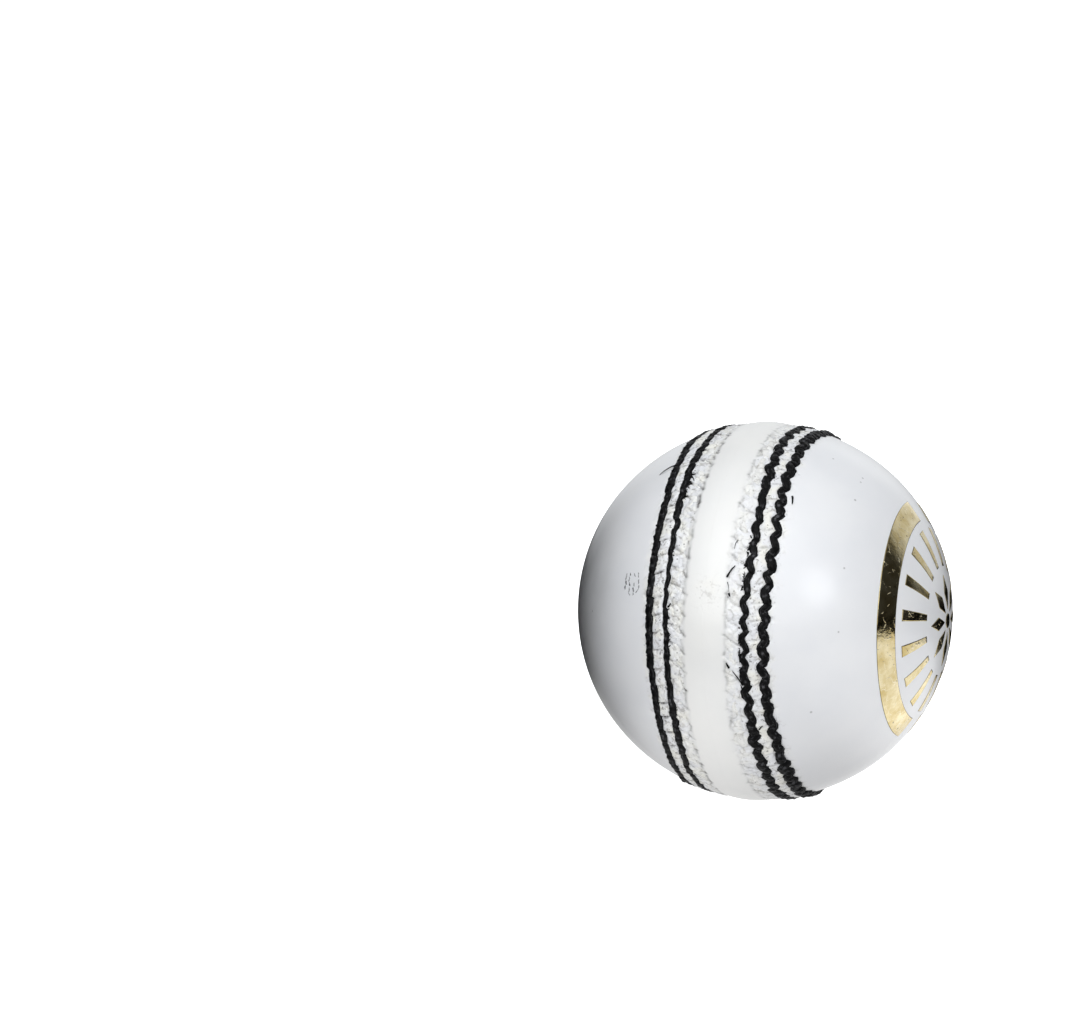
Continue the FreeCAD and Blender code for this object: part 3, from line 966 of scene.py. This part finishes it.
def strands(tree):
    """Socket with fine fibres that run along a cord."""
    along = times(tree, field(tree, "along"), 0.9)
    turn = times(tree, field(tree, "turn"), 5.0)
    place = add(tree, "CombineXYZ", {0: along, 1: turn}).outputs[0]
    return noise_node(tree, place, 1.3, 3.0, 0.6)


def black_thread_material():
    """Waxed black thread: almost black, with a low broken gloss along its plies, and painted highlights with
    some pale dust in thin lines along them.
    """
    material, tree, shader = new_material("black_thread")
    fibres = strands(tree)
    # Painted highlights, with some pale dust, lighten the colour in thin lines along the plies
    ply_highlight_and_dust = remap(tree, fibres, 0.54, 0.69)
    fill(tree, shader, {
        "Base Color": mix_colour(tree, ply_highlight_and_dust, (0.0015, 0.0015, 0.0018, 1), (0.07, 0.07, 0.075, 1)),
        "Roughness": remap(tree, fibres, 0.35, 0.7, 0.3, 0.6),
        "Normal": bump(tree, fibres, 0.8, 0.16),
        "Specular IOR Level": 0.1,
    })
    return material


def white_thread_material():
    """White thread under lacquer, with a little soiling, and painted shade mixed with soiling where it goes
    into the holes.
    """
    material, tree, shader = new_material("white_thread")
    fibres = strands(tree)
    point = millimetres(tree)
    lines, marks, spots = seam_lines_and_dirt(tree, point)
    base = mix_colour(tree, remap(tree, fibres, 0.4, 0.7), (0.79, 0.785, 0.76, 1), (0.83, 0.83, 0.815, 1))
    base = mix_colour(tree, times(tree, lines, 0.5), base, SEAM_LINE_COLOUR)
    dirt_and_hole_shade = math_node(tree, "MAXIMUM", times(tree, marks, 0.25), times(tree, spots, 0.6))
    # Painted shade, mixed with soiling, darkens the thread towards its ends, where it goes into the holes
    grime_and_shade = remap(tree, noise_node(tree, point, 0.6), 0.42, 0.62, 0.1, 0.85)
    at_hole = times(tree, remap(tree, field(tree, "end"), 0.85, 0.45), grime_and_shade)
    dirt_and_hole_shade = math_node(tree, "MAXIMUM", dirt_and_hole_shade, at_hole)
    height = math_node(tree, "ADD", fibres, noise_node(tree, point, 2.6, 4.0, 0.65))
    fill(tree, shader, {
        "Base Color": mix_colour(tree, dirt_and_hole_shade, base, (0.06, 0.055, 0.05, 1)),
        "Roughness": 0.5,
        "Normal": bump(tree, height, 0.7, 0.2),
        "Coat Weight": 0.35,
        "Coat Roughness": 0.3,
    })
    return material


def gold_material():
    """Hot-stamped foil: mirror-bright, faintly crinkled, with fine cracks and a dark edge."""
    material, tree, shader = new_material("gold_foil")
    point = millimetres(tree)
    patch = noise_node(tree, point, 0.28, 3.0, 0.6)
    cracks = times(tree, cell_lines(tree, point, 0.42, 0.035), 0.8)
    base = mix_colour(tree, remap(tree, patch, 0.35, 0.65), (0.62, 0.49, 0.22, 1), (0.84, 0.74, 0.48, 1))
    base = mix_colour(tree, cracks, base, (0.86, 0.80, 0.62, 1))
    rim = times(tree, field(tree, "edge"), 0.85)
    dark = math_node(tree, "MAXIMUM", rim, times(tree, specks(tree, point, 0.8, 0.2, 0.3), 0.7))
    wave = times(tree, noise_node(tree, point, 0.25, 1.0), 2.0)
    height = math_node(tree, "ADD", wave, noise_node(tree, point, 1.3, 3.0, 0.6))
    height = math_node(tree, "ADD", height, cracks)
    fill(tree, shader, {
        "Base Color": mix_colour(tree, dark, base, (0.10, 0.075, 0.03, 1)),
        "Metallic": 1.0,
        "Roughness": remap(tree, patch, 0.3, 0.7, 0.09, 0.2),
        "Normal": bump(tree, height, 0.5, 0.06),
    })
    return material


def ink_material():
    """Thin grey stamping ink, uneven and half rubbed off."""
    material, tree, shader = new_material("grey_ink")
    wear = remap(tree, noise_node(tree, millimetres(tree), 2.2), 0.4, 0.62)
    base = mix_colour(tree, wear, (0.05, 0.05, 0.052, 1), (0.36, 0.36, 0.37, 1))
    fill(tree, shader, {"Base Color": base, "Roughness": 0.5})
    return material


def cork_material(name, light, dark, scale):
    """Pressed cork granules."""
    material, tree, shader = new_material(name)
    point = millimetres(tree)
    distance, tone = cells_node(tree, point, scale)
    pores = remap(tree, noise_node(tree, point, 2.5), 0.6, 0.75)
    fill(tree, shader, {
        "Base Color": mix_colour(tree, pores, mix_colour(tree, tone, light, dark), (0.09, 0.045, 0.02, 1)),
        "Roughness": 0.85,
        "Normal": bump(tree, distance, 0.5, 0.25),
    })
    return material


def yarn_material():
    """Close turns of grey-white worsted yarn."""
    material, tree, shader = new_material("wound_yarn")
    point = millimetres(tree)
    turns = add(tree, "TexWave", {
        "Vector": point, "Scale": 0.35, "Distortion": 6.0, "Detail": 2.0, "Detail Scale": 0.3,
    }, bands_direction="DIAGONAL").outputs["Fac"]
    fuzz = noise_node(tree, point, 4.0, 3.0)
    base = mix_colour(tree, turns, (0.42, 0.39, 0.33, 1), (0.74, 0.71, 0.64, 1))
    fluff = remap(tree, fuzz, 0.45, 0.7, 0.0, 0.4)
    fill(tree, shader, {
        "Base Color": mix_colour(tree, fluff, base, (0.86, 0.84, 0.78, 1)),
        "Roughness": 0.9,
        "Normal": bump(tree, math_node(tree, "ADD", turns, times(tree, fuzz, 0.4)), 0.7, 0.5),
        "Sheen Weight": 0.3,
    })
    return material


def dress_core():
    """Gives the hidden core's CAD nodes their materials."""
    materials = {
        "cork_nucleus": cork_material("cork_core", (0.46, 0.29, 0.15, 1), (0.28, 0.15, 0.07, 1), 0.9),
        "cork_course": cork_material("cork_strip", (0.52, 0.34, 0.19, 1), (0.34, 0.20, 0.10, 1), 0.6),
        "yarn_winding": yarn_material(),
    }
    for name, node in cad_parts.items():
        for prefix, material in materials.items():
            if name.startswith(prefix):
                node.data.materials.clear()
                node.data.materials.append(material)


# ---- camera, light and floor ----

def away(azimuth, elevation=0.0):
    """Unit vector away from the ball at an azimuth from the camera's and an elevation, in degrees."""
    turn, rise = math.radians(azimuth + CAMERA_AZIMUTH), math.radians(elevation)
    return Vector((math.sin(turn) * math.cos(rise), -math.cos(turn) * math.cos(rise), math.sin(rise)))


def place_camera():
    """Camera at the ball's angle, aimed so that the ball sits right of and below the middle."""
    focal = LENS / SENSOR
    seen = Vector((TARGET_RIGHT / focal, -TARGET_DOWN / focal, -1.0)).normalized()
    towards = -away(0.0, CAMERA_ELEVATION)
    flat = math.hypot(towards.x, towards.y)
    yaw = math.atan2(towards.y, towards.x) - math.acos(seen.x / flat)
    level = Vector((-math.sin(yaw), math.cos(yaw), 0.0))
    pitch = math.atan2(towards.z, towards.dot(level)) - math.atan2(seen.y, -seen.z)
    data = bpy.data.cameras.new("camera")
    data.lens = LENS
    data.sensor_width = SENSOR
    data.clip_start = 0.01
    camera = new_object("camera", data)
    camera.location = -towards * CAMERA_DISTANCE
    camera.rotation_euler = (math.pi / 2 + pitch, 0.0, yaw)
    bpy.context.scene.camera = camera


def dome_light(tree):
    """Socket with the dome's strength in each direction."""
    towards = add(tree, "TexCoord", {}).outputs["Generated"]
    total = DOME_LIGHT
    for azimuth, elevation, even, faded, strength in DOME_PATCHES:
        facing = vector_node(tree, "DOT_PRODUCT", towards, away(azimuth, elevation)).outputs["Value"]
        edge, middle = math.cos(math.radians(faded)), math.cos(math.radians(even))
        total = math_node(tree, "ADD", remap(tree, facing, edge, middle, 0.0, strength, "SMOOTHSTEP"), total)
    return total


def floor_light(tree, place):
    """Socket with the light that the floor throws up at each place."""
    total = 0.0
    for azimuth, distance, even, faded, strength in FLOOR_PATCHES:
        middle = away(azimuth) * distance * MM
        middle.z = cad_box[0][2]
        gone = vector_node(tree, "DISTANCE", place, middle).outputs["Value"]
        patch = remap(tree, gone, faded * MM, even * MM, 0.0, strength, "SMOOTHSTEP")
        total = math_node(tree, "ADD", patch, total)
    return total


def split_rays(tree, seen, lit, output):
    """Shows one shader to the camera, and lights the ball with another."""
    rays = add(tree, "LightPath", {}).outputs["Is Camera Ray"]
    mix = add(tree, "MixShader", {0: rays, 1: lit.outputs[0], 2: seen.outputs[0]})
    tree.links.new(mix.outputs[0], tree.nodes[output].inputs["Surface"])


def studio():
    """Soft light from the dome; the camera itself sees plain white behind the ball."""
    scene = bpy.context.scene
    scene.view_settings.view_transform = "Standard"
    scene.world = bpy.data.worlds.new("studio")
    scene.world.use_nodes = True
    tree = scene.world.node_tree
    lit = tree.nodes["Background"]
    fill(tree, lit, {"Color": (0.97, 0.985, 1.0, 1), "Strength": dome_light(tree)})
    seen = add(tree, "Background", {"Color": (1, 1, 1, 1), "Strength": 1.05})
    split_rays(tree, seen, lit, "World Output")


def stage_sheet(name, corners, material, seen=True):
    """Flat sheet near the ball through four corners, in metres."""
    mesh = bpy.data.meshes.new(name)
    mesh.from_pydata(corners, [], [(0, 1, 2, 3)])
    mesh.materials.append(material)
    piece = new_object(name, mesh)
    piece.visible_camera = seen


def floor():
    """Wide pale floor: white to the camera, and a patchy reflector to the ball."""
    material, tree, shader = new_material("floor")
    place = object_place(tree)
    shade = mix_colour(tree, noise_node(tree, place, 3.0), (0.86, 0.86, 0.86, 1), (0.88, 0.88, 0.88, 1))
    fill(tree, shader, {
        "Base Color": shade,
        "Roughness": 0.9,
        "Specular IOR Level": 0.0,
        "Emission Color": (1, 1, 1, 1),
        "Emission Strength": 0.9,
    })
    glow = add(tree, "Emission", {"Strength": floor_light(tree, place)})
    split_rays(tree, shader, glow, "Material Output")
    square = ((-1, -1), (1, -1), (1, 1), (-1, 1))
    corners = [(x * FLOOR_REACH, y * FLOOR_REACH, cad_box[0][2]) for x, y in square]
    stage_sheet("floor", corners, material)


def black_card():
    """Card beside the ball that the camera doesn't see, for the dark left edge."""
    material, tree, shader = new_material("black_card")
    fill(tree, shader, {"Base Color": (0.01, 0.01, 0.01, 1), "Roughness": 0.9, "Specular IOR Level": 0.0})
    (near, far), (low, high) = CARD_ENDS, CARD_HEIGHTS
    corners = []
    for end, height in ((near, low), (near, high), (far, high), (far, low)):
        corner = away(-90.0) * CARD_LEFT + away(0.0) * end
        corners.append((corner + Vector((0.0, 0.0, height))) * MM)
    stage_sheet("black_card", corners, material, seen=False)


def main():
    """Builds every piece."""
    place_camera()
    studio()
    floor()
    black_card()
    leather = leather_material()
    black = black_thread_material()
    cups = [Cup("right"), Cup("left")]
    for cup in cups:
        leather_cup(cup, leather)
        black_thread(cup, black)
    white_thread(cups, white_thread_material())
    gold_stamp(gold_material())
    ink_mark(ink_material())
    dress_core()


main()
